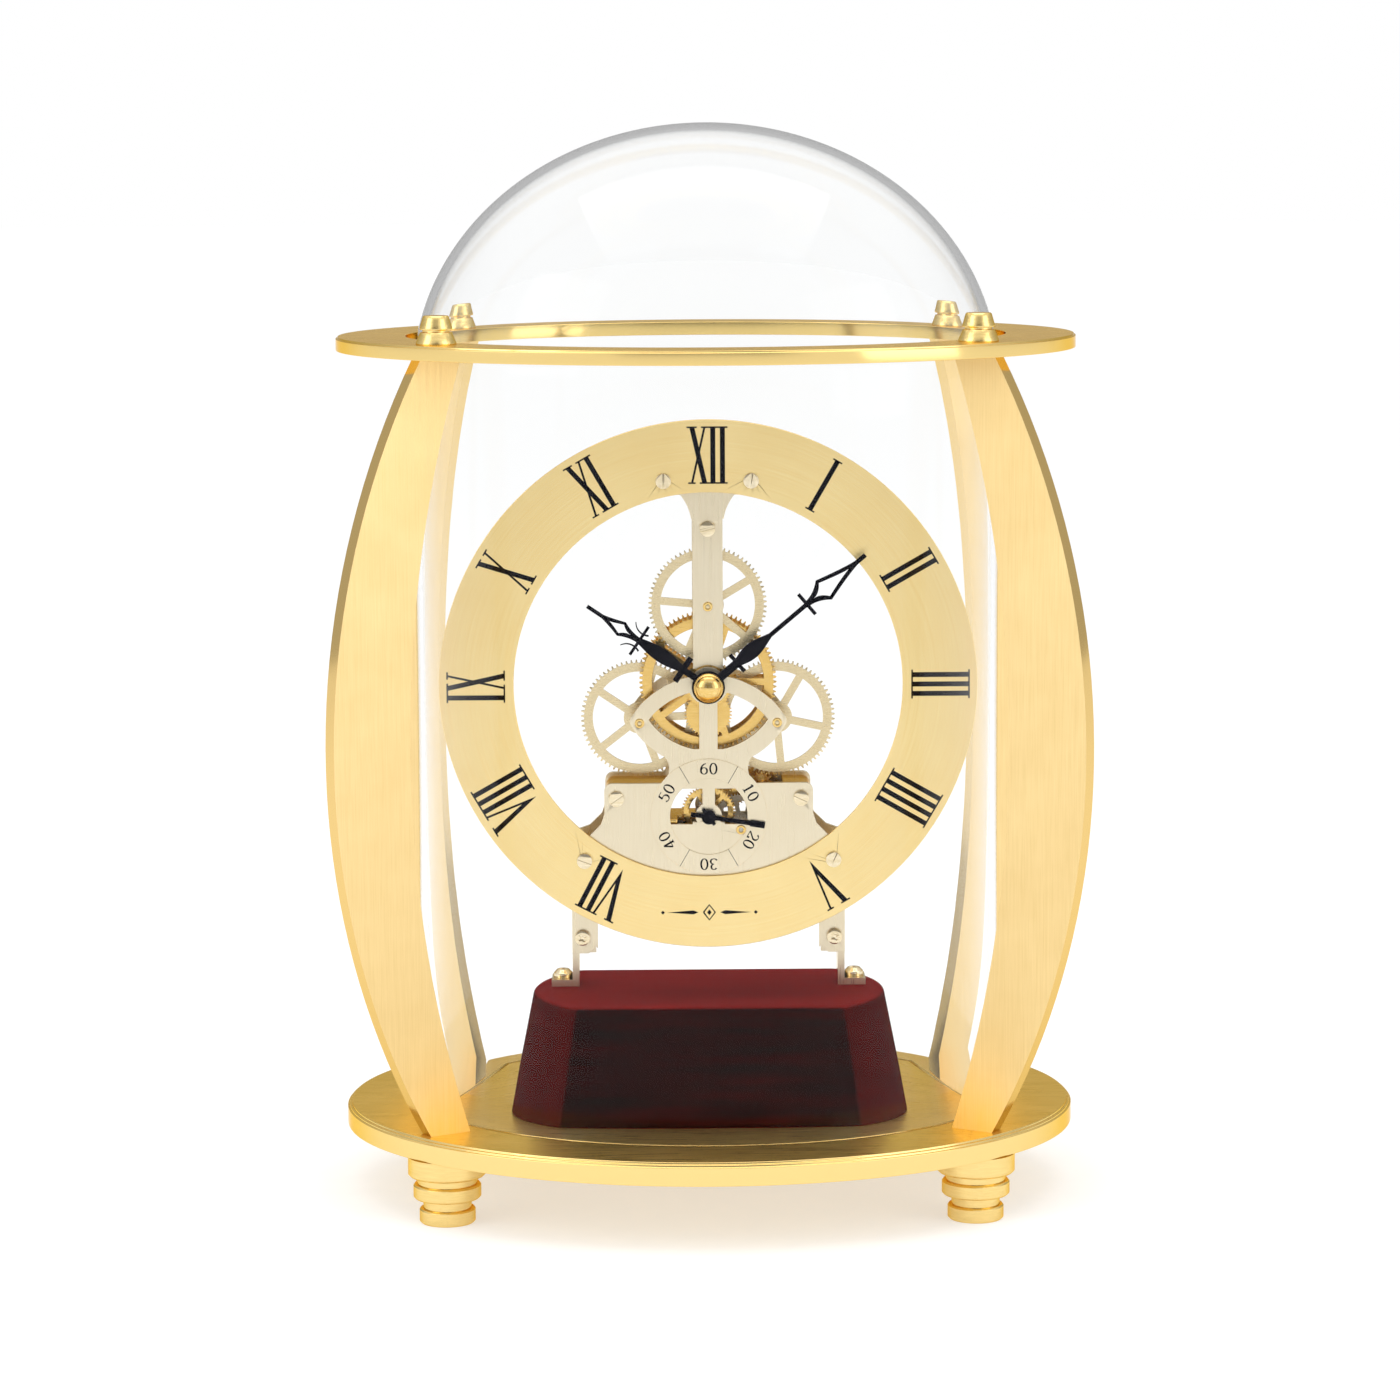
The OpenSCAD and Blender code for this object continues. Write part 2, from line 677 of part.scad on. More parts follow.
// Outline that swells from a narrow start to a middle width and back, along +Y
module leaf(y0, y1, w0, w1) {
    n = 16;
    function half(i) = w0 / 2 + (w1 - w0) / 2 * pow(sin(180 * i / n), 1.2);
    polygon(concat([for (i = [0:n]) [half(i), y0 + (y1 - y0) * i / n]],
        [for (i = [n:-1:0]) [-half(i), y0 + (y1 - y0) * i / n]]));
}

// Spade along +Y: it opens from width w0 in two hollow curves, then narrows to a point of width w2
module spade(y0, w0, y1, w1, y2, w2) {
    n = 10;
    side = concat([for (i = [0:n]) [w0 + (w1 - w0) * pow(i / n, 2), y0 + (y1 - y0) * i / n]],
        [for (i = [1:n]) [w2 + (w1 - w2) * pow(1 - i / n, 1.2), y1 + (y2 - y1) * i / n]]) / 2;
    polygon(concat([for (p = side) [p[0], 2 * p[1]]],
        [for (i = [2 * n:-1:0]) [-side[i][0], 2 * side[i][1]]]));
}

module cross_bar(y, w, t) {
    translate([-w / 2, y - t / 2]) square([w, t]);
}

// Horn beside the hour hand: a curved stroke that thins towards its tip
module horn(s) {
    n = 12;
    there = s > 0 ? [n:-1:0] : [0:n];
    back = s > 0 ? [0:n] : [n:-1:0];
    function at(i, r) = [s * (5.6 - r * cos(91 * i / n - 30)), 23 + r * sin(91 * i / n - 30)];
    polygon(concat([for (i = there) at(i, 3.8)], [for (i = back) at(i, 3.3 + 0.25 * i / n)]));
}

module hour_hand_outline() {
    difference() {
        union() {
            circle(r = 3.6);
            translate([-0.9, 0]) square([1.8, 9]);
            cross_bar(8.3, 7.8, 1.6);
            leaf(7.5, 23.4, 1.4, 3.9);
            spade(22.8, 1.5, 28.4, 4.4, 34.6, 1.05);
            translate([-0.525, 34]) square([1.05, 5.6]);
            cross_bar(22.6, 9.2, 0.8);
            for (s = [-1, 1]) horn(s);
        }
        spade(25.6, 0.1, 28.5, 2.8, 32.2, 0.1);
    }
}

module minute_hand_outline() {
    difference() {
        union() {
            circle(r = 3.6);
            translate([-1.15, 0]) square([2.3, 11]);
            cross_bar(10.3, 6, 1.05);
            leaf(9, 21.8, 1.4, 4.3);
            translate([-0.6, 21]) square([1.2, 15.5]);
            cross_bar(35.1, 7.2, 0.95);
            spade(35, 1.6, 41.1, 6.8, 52.6, 1.2);
            translate([-0.6, 52]) square([1.2, 3.8]);
        }
        spade(37.7, 0.1, 41.3, 4.7, 49.8, 0.1);
    }
}

module seconds_hand_outline() {
    circle(r = 1.6);
    translate([-0.6, -5]) square([1.2, 18]);
    translate([-0.85, 11.5]) square([1.7, 4]);
    rotate(45) square([5.4, 0.9], center = true);
}

module hour_hand() color("black") facing(hour_hand_y, hand_t) translate(CENTRE) rotate(-hour_angle)
    difference() {
        hour_hand_outline();
        circle(r = pipe_r);
    }

module minute_hand() color("black") facing(minute_hand_y, hand_t) translate(CENTRE)
    rotate(-minute_angle) difference() {
        minute_hand_outline();
        circle(r = 0.8);
    }

module seconds_hand() color("black") {
    facing(seconds_hand_y, hand_t) translate(SECONDS) rotate(-second_angle) difference() {
        seconds_hand_outline();
        circle(r = arbor_r);
    }
    difference() {
        rod(SECONDS, seconds_hand_y - 0.8, seconds_hand_y + 0.2, 1.95);
        rod(SECONDS, seconds_hand_y - 0.3, seconds_hand_y + 1, arbor_r);
    }
}

module hand_washer() color("black") along_y(CENTRE, minute_hand_y - 0.4) difference() {
    cylinder(h = 0.4, r = 4.5);
    translate([0, 0, -1]) cylinder(h = 3, r = 0.8);
}

// Domed nut that holds the minute hand
module hand_nut() color("gold") along_y(CENTRE, minute_hand_y - 0.4) rotate([180, 0, 0]) difference() {
    union() {
        linear_extrude(height = 1.2) circle(r = 4.05);
        translate([0, 0, 1.2 - eps]) intersection() {
            translate([0, 0, -1.9]) sphere(r = 4.4);
            cylinder(h = 6, r = 4.05);
        }
    }
    translate([0, 0, -1]) cylinder(h = 3, r = 0.8);
}

// Knurled knob at the back that sets the hands
module setting_knob() color("silver") facing(knob_y, knob_t) translate(CENTRE) difference() {
    union() {
        circle(r = 4);
        for (i = [0:23]) rotate(15 * i) translate([4, 0]) circle(r = 0.3, $fn = 16);
    }
    circle(r = 1);
}

// ---------- side wheels: each is an arbor with a wheel and a pinion ----------

module satellite(p, wheel_y, pinion_y, turn) {
    rod(p, front_y + 0.1, back_y + plate_t - 0.1, arbor_r);
    wheel(p, wheel_y, side_teeth, big_m, turn, 2.4, 4.4, 2.1, arbor_r - 0.05);
    pinion(p, pinion_y, 1.6, side_pinion, big_m, turn);
}

module upper_wheel() color("wheat") satellite(UPPER, upper_level, front_wheel_level - 0.4, upper_turn);
module left_wheel() color("wheat") satellite(LEFT, side_level, rear_wheel_level - 0.4, left_turn);
module right_wheel() color("wheat") satellite(RIGHT, side_level, rear_wheel_level - 0.4, right_turn);

// ---------- driving train ----------

module seconds_arbor() color("silver") {
    rod(SECONDS, seconds_hand_y - 0.2, back_y + plate_t - 0.1, arbor_r);
    rod(SECONDS, front_y + 0.1, front_inside + 0.8, 1);
    pinion(SECONDS, transfer_level - 0.3, 1.4, seconds_pinion, small_m, seconds_turn);
}

module seconds_wheel() color("orange")
    wheel(SECONDS, seconds_level, seconds_teeth, small_m, seconds_turn, 1.5, 2.4, 1.1);

module idler_wheel() color("orange") facing(transfer_level, wheel_t) translate(IDLER) difference() {
    toothed(idler_teeth, small_m, idler_turn);
    circle(r = 0.6);
}

module transfer_wheel() color("orange") {
    rod(TRANSFER, side_level - 2, back_y + plate_t - 0.1, arbor_r);
    facing(transfer_level, wheel_t) translate(TRANSFER) toothed(transfer_teeth, small_m, transfer_turn);
    pinion(TRANSFER, side_level - 0.4, 1.6, drive_pinion, big_m, transfer_turn);
}

module reduction_wheel() color("white") {
    rod(REDUCTION, front_y + 0.1, back_y + plate_t - 0.1, arbor_r);
    wheel(REDUCTION, reduction_level, reduction_teeth, motor_m, reduction_turn, 1.5, 2.6, 1.2, 0.5);
    pinion(REDUCTION, seconds_level - 0.3, 1.4, reduction_pinion, small_m, reduction_turn);
}

module rotor() color("dimgray") {
    rod(ROTOR, reduction_level - 2, back_y + plate_t - 0.1, 0.5);
    pinion(ROTOR, reduction_level - 0.3, 1.4, rotor_teeth, motor_m, rotor_turn);
    rod(ROTOR, magnet_y, magnet_y + 2.4, magnet_r);
}

// Iron plate that carries the field of the coil round the rotor
module stator() color("gray") facing(magnet_y + 0.7, 1) difference() {
    union() {
        intersection() {
            translate(ROTOR) circle(r = 4);
            translate([ROTOR[0] - 5, core_z]) square([10, 10]);
        }
        translate([-19, core_z]) square([37, 3.2]);
        translate([-22, core_z]) square([4, 9]);
    }
    translate(ROTOR) circle(r = magnet_r + 0.3);
    for (s = [-1, 1]) translate([s * 8 - 9, core_z + 1.6]) circle(r = 0.8);
}

module coil() color("peru") translate([-12, -7.8, 101]) rotate([0, 90, 0]) difference() {
    union() {
        translate([0, 0, -13]) cylinder(h = 1, r = 3);
        translate([0, 0, -12 - eps]) cylinder(h = 14 + 2 * eps, r = 2.6);
        translate([0, 0, 2]) cylinder(h = 1, r = 3);
    }
    translate([0, 0, -14]) cylinder(h = 20, r = 0.7);
}

module circuit_board() color("darkgreen") facing(back_y - 1.2, 1.2) difference() {
    translate([-24, core_z]) square([19, 7.2]);
    translate([-16, 100]) circle(r = 0.8);
}

module quartz_crystal() color("silver") translate([-13, back_y - 1.2 - 1.05, 103])
    rotate([0, 90, 0]) cylinder(h = 6, r = 1.05);

// ---------- battery ----------

module battery() color("slategray") translate([-25, battery_y, battery_z]) rotate([0, 90, 0]) {
    cylinder(h = battery_l, r = battery_r);
    translate([0, 0, battery_l - eps]) cylinder(h = 1.3, r = 2.7);
}

// Contact leaf at each end of the battery with a pressed dome that touches it
module battery_contacts() color("silver") for (s = [-1, 1]) {
    wall_x = housing_w / 2 - housing_wall;
    reach = s < 0 ? wall_x - 25 : wall_x - 25.5;
    translate([s * (wall_x - 0.4) - 0.4, battery_y - 5, battery_z - 5]) cube([0.8, 10, 10]);
    translate([s * wall_x, battery_y, battery_z]) rotate([0, -90 * s, 0]) cylinder(h = reach, r = 2);
}

module battery_cover() color("darkgoldenrod") difference() {
    facing(back_y, plate_t) translate([-cover_w / 2, housing_low])
        square([cover_w, cover_top - housing_low]);
    facing(back_y + plate_t - 0.6, 1) for (i = [0:4]) translate([-6, 84 + 2 * i]) square([12, 0.8]);
}

base_plate();
foot(CORNERS[0]);  // foot_front_left
foot(CORNERS[1]);  // foot_front_right
foot(CORNERS[2]);  // foot_back_left
foot(CORNERS[3]);  // foot_back_right
pillar(CORNERS[0]);  // pillar_front_left
pillar(CORNERS[1]);  // pillar_front_right
pillar(CORNERS[2]);  // pillar_back_left
pillar(CORNERS[3]);  // pillar_back_right
top_ring();
finial(CORNERS[0]);  // nut_front_left
finial(CORNERS[1]);  // nut_front_right
finial(CORNERS[2]);  // nut_back_left
finial(CORNERS[3]);  // nut_back_right
glass_dome();
plinth();
plinth_screws();
bracket(-1);  // bracket_left
bracket(1);  // bracket_right
bracket_foot_screws();
bracket_ear_screws();
back_plate();
lower_front_plate();
upper_bridge();
motor_housing();
plate_posts();
plate_screws();
plate_bushes();
dial_ring();
dial_screws();
seconds_ring();
centre_arbor();
front_centre_wheel();
rear_centre_wheel();
minute_hand();
hand_washer();
hand_nut();
setting_knob();
hour_wheel();
hour_hand();
motion_wheel();
upper_wheel();
left_wheel();
right_wheel();
seconds_arbor();
seconds_wheel();
seconds_hand();
idler_wheel();
transfer_wheel();
reduction_wheel();
rotor();
stator();
coil();
circuit_board();
quartz_crystal();
battery();
battery_contacts();
battery_cover();
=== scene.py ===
import math

import bpy
from mathutils import Euler, Matrix, Vector


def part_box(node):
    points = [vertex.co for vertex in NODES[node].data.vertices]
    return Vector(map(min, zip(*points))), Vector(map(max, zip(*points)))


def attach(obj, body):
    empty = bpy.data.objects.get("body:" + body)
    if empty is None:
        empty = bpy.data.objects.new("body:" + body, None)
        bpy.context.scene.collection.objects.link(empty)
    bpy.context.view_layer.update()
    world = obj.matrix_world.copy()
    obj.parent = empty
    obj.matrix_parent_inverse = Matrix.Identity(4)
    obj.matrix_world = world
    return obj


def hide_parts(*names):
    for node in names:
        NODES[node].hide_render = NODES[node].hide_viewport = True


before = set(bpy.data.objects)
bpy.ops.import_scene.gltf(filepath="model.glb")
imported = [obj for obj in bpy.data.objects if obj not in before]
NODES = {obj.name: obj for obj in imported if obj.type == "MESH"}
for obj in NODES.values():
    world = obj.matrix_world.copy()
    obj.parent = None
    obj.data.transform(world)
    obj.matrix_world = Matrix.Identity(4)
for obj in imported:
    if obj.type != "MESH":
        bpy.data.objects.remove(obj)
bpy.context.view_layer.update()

# A skeleton clock under a glass dome. Places are in metres, in the frame of the CAD. What is drawn in
# millimetres says so, and is scaled by MM.

MM = 0.001
FRAME_BODY = "clock_frame"


# ---------- node trees ----------


class Tree:
    """Adds and links the nodes of one material or world."""

    def __init__(self, tree):
        self.tree = tree

    def put(self, node, inputs):
        for key, value in inputs.items():
            if isinstance(value, bpy.types.NodeSocket):
                self.tree.links.new(value, node.inputs[key])
            else:
                node.inputs[key].default_value = value

    def add(self, kind, inputs=None, **settings):
        node = self.tree.nodes.new("ShaderNode" + kind)
        for key, value in settings.items():
            setattr(node, key, value)
        self.put(node, inputs or {})
        return node

    def math(self, operation, a, b=0.0):
        return self.add("Math", {0: a, 1: b}, operation=operation).outputs[0]

    def parts(self, vector):
        return self.add("SeparateXYZ", {0: vector}).outputs

    def remap(self, value, low, high, start=0.0, end=1.0, smooth=False):
        """value from start..end becomes low..high."""
        kind = "SMOOTHSTEP" if smooth else "LINEAR"
        inputs = {"Value": value, "From Min": start, "From Max": end, "To Min": low, "To Max": high}
        return self.add("MapRange", inputs, interpolation_type=kind).outputs[0]

    def ramp(self, value, stops):
        node = self.add("ValToRGB", {0: value})
        band = node.color_ramp
        while len(band.elements) < len(stops):
            band.elements.new(0.5)
        for element, (place, colour) in zip(band.elements, stops):
            element.position = place
            element.color = (*colour, 1)
        return node.outputs[0]

    def blend(self, share, a, b):
        node = self.add("Mix", data_type="RGBA")
        self.put(node, {0: share, 6: a, 7: b})
        return node.outputs[2]


class Surface(Tree):
    """A procedural material around one Principled shader."""

    def __init__(self, name, **sockets):
        self.material = bpy.data.materials.new(name)
        self.material.use_nodes = True
        super().__init__(self.material.node_tree)
        self.shader = self.tree.nodes["Principled BSDF"]
        self.set(**sockets)

    def set(self, **sockets):
        names = {
            "colour": "Base Color",
            "metallic": "Metallic",
            "roughness": "Roughness",
            "specular": "Specular IOR Level",
            "specular_tint": "Specular Tint",
            "ior": "IOR",
            "coat": "Coat Weight",
            "coat_roughness": "Coat Roughness",
            "transmission": "Transmission Weight",
            "anisotropic": "Anisotropic",
            "tangent": "Tangent",
            "normal": "Normal",
        }
        self.put(self.shader, {names[key]: value for key, value in sockets.items()})

    def position(self):
        return self.add("TexCoord").outputs["Object"]

    def stretched(self, scale):
        return self.add("Mapping", {"Vector": self.position(), "Scale": scale}).outputs[0]

    def turned(self, centre, axis, fine, along=2.0):
        """Coordinates that run round an axis: marks cut on a lathe or by a turning brush."""
        moved = self.add("VectorMath", {0: self.position(), 1: centre}, operation="SUBTRACT")
        parts = self.parts(moved.outputs[0])
        across = [parts[i] for i in range(3) if i != axis]
        squares = [self.math("MULTIPLY", p, p) for p in across]
        radius = self.math("SQRT", self.math("ADD", *squares))
        angle = self.math("ARCTAN2", *across)
        inputs = {
            0: self.math("MULTIPLY", radius, fine),
            1: self.math("MULTIPLY", angle, along),
            2: self.math("MULTIPLY", parts[axis], fine),
        }
        return self.add("CombineXYZ", inputs).outputs[0]

    def noise(self, vector, scale=1.0, detail=3.0):
        inputs = {"Vector": vector, "Scale": scale, "Detail": detail, "Roughness": 0.6}
        return self.add("TexNoise", inputs).outputs[0]

    def cloud(self, scale):
        return self.noise(self.position(), scale, 2.0)

    def facing(self, axis, start, end):
        """1 on the faces that look along an axis either way, 0 on the others."""
        part = self.parts(self.add("NewGeometry").outputs["Normal"])[axis]
        return self.remap(self.math("ABSOLUTE", part), 0.0, 1.0, start, end)

    def bump(self, height, strength, distance):
        inputs = {"Height": height, "Strength": strength, "Distance": distance}
        self.set(normal=self.add("Bump", inputs).outputs[0])


def metal(name, dark, light, rough, grain, bump=0.1, cloud=60.0, polish=None, **sockets):
    """Metal with a grain.

    grain makes the grain's coordinates. polish = (axis, start, end, roughness) says which faces carry
    the grain, and how smooth the other ones are. The metal keeps its colour at a glancing angle.
    """
    s = Surface(name, metallic=1.0, specular_tint=(*light, 1), **sockets)
    fine = s.noise(grain(s))
    low, high = rough
    tone = s.math("ADD", s.math("MULTIPLY", fine, 0.65), s.math("MULTIPLY", s.cloud(cloud), 0.35))
    roughness = s.remap(fine, low, high, 0.3, 0.7)
    strength = bump
    if polish:
        axis, start, end, smooth = polish
        grained = s.facing(axis, start, end)
        tone = s.remap(grained, 0.5, tone)
        roughness = s.remap(grained, smooth, roughness)
        strength = s.math("MULTIPLY", grained, bump)
    s.set(colour=s.ramp(tone, [(0.32, dark), (0.68, light)]), roughness=roughness)
    s.bump(fine, strength, 0.02 * MM)
    return s


BRASS_DARK, BRASS_LIGHT = (0.82, 0.60, 0.22), (0.94, 0.71, 0.30)
PILLAR_DARK, PILLAR_LIGHT = (0.76, 0.55, 0.24), (0.87, 0.66, 0.32)
DIAL_DARK, DIAL_LIGHT = (0.95, 0.71, 0.31), (1.0, 0.80, 0.40)
GOLD_DARK, GOLD_LIGHT = (0.74, 0.47, 0.13), (0.88, 0.61, 0.22)
PALE_DARK, PALE_LIGHT = (0.74, 0.60, 0.36), (0.84, 0.71, 0.46)
PLATE_DARK, PLATE_LIGHT = (0.80, 0.69, 0.49), (0.88, 0.78, 0.59)
STEEL_DARK, STEEL_LIGHT = (0.52, 0.50, 0.46), (0.72, 0.70, 0.66)


def streaks(axis, across=2600.0, along=60.0):
    scale = [across] * 3
    scale[axis] = along
    return lambda s: s.stretched(scale)


def rings(centre, axis, fine=2600.0):
    return lambda s: s.turned(centre, axis, fine)


def middle(name):
    low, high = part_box(name)
    return (low + high) / 2


def brass_materials():
    dial = middle("dial_ring")
    return {
        "brushed_brass": metal("base_brass", BRASS_DARK, BRASS_LIGHT, (0.24, 0.4), streaks(0), 0.2,
                               polish=(2, 0.8, 0.95, 0.12)),
        "pillar_brass": metal("pillar_brass", PILLAR_DARK, PILLAR_LIGHT, (0.3, 0.46), streaks(2), 0.22,
                              polish=(1, 0.62, 0.78, 0.13)),
        "dial_brass": metal("dial_brass", DIAL_DARK, DIAL_LIGHT, (0.28, 0.42), rings(dial, 1), 0.6,
                            polish=(1, 0.8, 0.95, 0.12)),
        "plate_satin": metal("satin_plate", PLATE_DARK, PLATE_LIGHT, (0.26, 0.36), streaks(2), 0.06,
                             polish=(1, 0.8, 0.95, 0.14)),
        "housing_gold": metal("housing_gold", GOLD_DARK, GOLD_LIGHT, (0.16, 0.26), streaks(0), 0.06),
        "post_brass": metal("post_brass", GOLD_DARK, BRASS_LIGHT, (0.12, 0.2), streaks(1), 0.05),
        "wheel_pale": metal("pale_wheel", PALE_DARK, PALE_LIGHT, (0.24, 0.34), streaks(0, 3000, 300), 0.06,
                            polish=(1, 0.8, 0.95, 0.12)),
        "wheel_brass": metal("brass_wheel", GOLD_DARK, GOLD_LIGHT, (0.16, 0.26), streaks(0, 3000, 300),
                             0.06, polish=(1, 0.8, 0.95, 0.1)),
        "screw_brass": metal("screw_brass", PALE_DARK, PLATE_LIGHT, (0.08, 0.14), streaks(0, 900, 90),
                             0.04),
        "nut_gold": metal("nut_gold", GOLD_DARK, BRASS_LIGHT, (0.07, 0.12),
                          rings(middle("hand_nut"), 1, 3000), 0.04),
    }


def turned_brass(name, node):
    """Brass turned on an upright axis through the middle of one node."""
    return metal(name, BRASS_DARK, BRASS_LIGHT, (0.16, 0.26), rings(middle(node), 2), 0.12)


def wood_material():
    """Mahogany under a deep gloss lacquer, with painted light: the top faces and the bowed ends are
    painted lighter than the front.
    """
    s = Surface("mahogany", specular=0.0, coat=0.04, coat_roughness=0.03)
    figure = s.noise(s.stretched((26.0, 160.0, 420.0)), 1.0, 6.0)
    pores = s.noise(s.stretched((160.0, 1500.0, 2600.0)), 1.0, 2.0)
    # Painted light: faces that look up are painted a lighter red, as if lit from above, and the ends are
    # painted a little lighter than the front as a painted highlight. The front keeps the darkest red, a
    # painted shade. Only the figure within each colour is the wood's own grain.
    top = s.facing(2, 0.5, 0.9)
    ends = s.facing(0, 0.1, 0.5)
    front = s.ramp(figure, [(0.3, (0.004, 0.0008, 0.0008)), (0.52, (0.016, 0.0020, 0.0018)),
                            (0.75, (0.045, 0.0042, 0.0036))])
    painted_end_highlight = s.ramp(figure, [(0.3, (0.05, 0.0032, 0.0030)), (0.7, (0.075, 0.0048, 0.0044))])
    above = s.ramp(figure, [(0.3, (0.17, 0.011, 0.010)), (0.7, (0.24, 0.016, 0.014))])
    s.set(colour=s.blend(top, s.blend(ends, front, painted_end_highlight), above),
          roughness=s.remap(pores, 0.12, 0.2, 0.3, 0.7))
    s.bump(pores, 0.03, 0.01 * MM)
    return s


def glass_material():
    """Clear glass that lets the lamps light what stands under it."""
    s = Surface("dome_glass", colour=(0.98, 0.984, 0.984, 1), specular_tint=(0.12, 0.12, 0.125, 1),
                transmission=1.0, ior=1.48)
    smear = s.cloud(24.0)
    s.set(roughness=s.remap(smear, 0.0, 0.012, 0.45, 0.75))
    clear = s.add("BsdfTransparent", {0: (0.97, 0.975, 0.975, 1)})
    shadow = s.add("LightPath").outputs["Is Shadow Ray"]
    mixed = s.add("MixShader", {0: shadow, 1: s.shader.outputs[0], 2: clear.outputs[0]})
    s.put(s.tree.nodes["Material Output"], {0: mixed.outputs[0]})
    return s


def enamel(name, dark, light, rough, scale=500.0, bump=0.05, **sockets):
    """Paint, ink, plastic or other matter without a metal's colour."""
    s = Surface(name, **sockets)
    fleck = s.cloud(scale)
    low, high = rough
    colour = s.ramp(fleck, [(0.35, dark), (0.65, light)])
    s.set(colour=colour, roughness=s.remap(fleck, low, high, 0.3, 0.7))
    s.bump(fleck, bump, 0.02 * MM)
    return s


def coil_material():
    """Enamelled copper wire wound side by side."""
    s = Surface("wound_copper", metallic=1.0)
    place = s.stretched((1.0, 1.0, 1.0))
    wire = s.add("TexWave", {"Vector": place, "Scale": 900.0, "Distortion": 0.4}, bands_direction="X")
    turn = wire.outputs[1]
    s.set(colour=s.ramp(turn, [(0.1, (0.32, 0.08, 0.03)), (0.8, (0.78, 0.30, 0.14))]),
          roughness=s.remap(turn, 0.34, 0.2))
    s.bump(turn, 0.5, 0.05 * MM)
    return s


def battery_material():
    """Plain two-tone sleeve of a dry cell: a copper-coloured end on a dark body."""
    s = Surface("battery_sleeve", metallic=0.6)
    along = s.parts(s.position())[0]
    scuff = s.cloud(400.0)
    low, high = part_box("battery")
    edge = low.x + 0.72 * (high.x - low.x)
    end = s.remap(along, 0.0, 1.0, edge, edge + 0.1 * MM)
    dark = s.ramp(scuff, [(0.3, (0.010, 0.010, 0.012)), (0.7, (0.03, 0.03, 0.035))])
    copper = s.ramp(scuff, [(0.3, (0.50, 0.22, 0.08)), (0.7, (0.62, 0.30, 0.12))])
    s.set(colour=s.blend(end, dark, copper), roughness=s.remap(scuff, 0.2, 0.34, 0.3, 0.7))
    return s


def other_materials():
    return {
        "dome_glass": glass_material(),
        "plinth_wood": wood_material(),
        "hand_black": enamel("black_enamel", (0.004, 0.004, 0.007), (0.009, 0.009, 0.014), (0.3, 0.42),
                             specular=0.02),
        "rotor_black": enamel("black_plastic", (0.012, 0.012, 0.013), (0.03, 0.03, 0.032), (0.4, 0.55)),
        "wheel_nylon": enamel("nylon", (0.62, 0.60, 0.52), (0.76, 0.74, 0.66), (0.35, 0.5)),
        "board_green": enamel("solder_mask", (0.008, 0.07, 0.03), (0.02, 0.13, 0.05), (0.25, 0.4), 900.0,
                              0.2),
        "screw_steel": metal("steel_screw", STEEL_DARK, STEEL_LIGHT, (0.18, 0.3), streaks(0, 900, 90),
                             0.05),
        "arbor_steel": metal("arbor_steel", STEEL_DARK, STEEL_LIGHT, (0.14, 0.24), streaks(1), 0.05),
        "iron_core": metal("iron_core", (0.30, 0.29, 0.28), (0.46, 0.45, 0.43), (0.35, 0.5), streaks(0),
                           0.1),
        "coil_copper": coil_material(),
        "battery_case": battery_material(),
    }


MATERIALS = {**brass_materials(), **other_materials()}


def dress_frame():
    """Gives every CAD node its procedural material: a turned piece gets one round its own axis."""
    MATERIALS["polished_brass"] = metal(
        "ring_brass", BRASS_DARK, BRASS_LIGHT, (0.2, 0.34), streaks(0), 0.16, polish=(2, 0.8, 0.95, 0.12)
    )
    for name, node in NODES.items():
        slot = node.material_slots[0]
        surface = MATERIALS[slot.material.name]
        if name.startswith(("foot_", "nut_")):
            surface = turned_brass(name + "_brass", name)
        slot.material = surface.material


# ---------- softened edges ----------

# Widths in millimetres, by how a node's name starts
BEVELS = {
    "base_plate": 0.25, "top_ring": 0.35, "pillar": 0.3, "foot": 0.2, "nut": 0.15, "dial_ring": 0.12,
    "motor_housing": 0.4, "battery_cover": 0.15, "bracket_left": 0.15, "bracket_right": 0.15,
    "setting_knob": 0.12,
}
THIN_BEVEL = 0.07
SHARPEST_KEPT = math.radians(32)


def smooth(piece):
    for polygon in piece.data.polygons:
        polygon.use_smooth = True


def weigh_normals(piece):
    modifier = piece.modifiers.new("flat_faces", "WEIGHTED_NORMAL")
    modifier.weight = 90
    modifier.keep_sharp = False


def soften(piece, width):
    """Breaks the sharp edges of a piece, so that they catch the light."""
    smooth(piece)
    weld = piece.modifiers.new("joined", "WELD")
    weld.merge_threshold = 0.001 * MM
    bevel = piece.modifiers.new("broken_edges", "BEVEL")
    bevel.width = width
    bevel.segments = 2
    bevel.limit_method = "ANGLE"
    bevel.angle_limit = SHARPEST_KEPT
    weigh_normals(piece)


def soften_frame():
    for name, node in NODES.items():
        wide = [w for key, w in BEVELS.items() if name.startswith(key)]
        soften(node, (wide[0] if wide else THIN_BEVEL) * MM)


# ---------- mesh builders ----------


def piece_from(name, points, faces, slot, body=FRAME_BODY):
    mesh = bpy.data.meshes.new(name)
    mesh.from_pydata([tuple(p) for p in points], [], faces)
    mesh.validate()
    piece = bpy.data.objects.new(name, mesh)
    bpy.context.scene.collection.objects.link(piece)
    mesh.materials.append(MATERIALS[slot].material)
    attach(piece, body)
    return piece


def skin(name, loops, slot, body=FRAME_BODY):
    """A closed surface through loops of points. A loop of one point is a pole; other ends are capped."""
    points = [p for loop in loops for p in loop]
    starts = [sum(len(loop) for loop in loops[:i]) for i in range(len(loops))]
    faces = []
    for a, b, i, j in zip(loops, loops[1:], starts, starts[1:]):
        n = max(len(a), len(b))
        for k in range(n):
            m = (k + 1) % n
            if len(a) == 1:
                faces.append((i, j + m, j + k))
            elif len(b) == 1:
                faces.append((i + k, i + m, j))
            else:
                faces.append((i + k, i + m, j + m, j + k))
    if len(loops[0]) > 1:
        faces.append(tuple(range(len(loops[0])))[::-1])
    if len(loops[-1]) > 1:
        faces.append(tuple(starts[-1] + k for k in range(len(loops[-1]))))
    piece = piece_from(name, points, faces, slot, body)
    smooth(piece)
    return piece


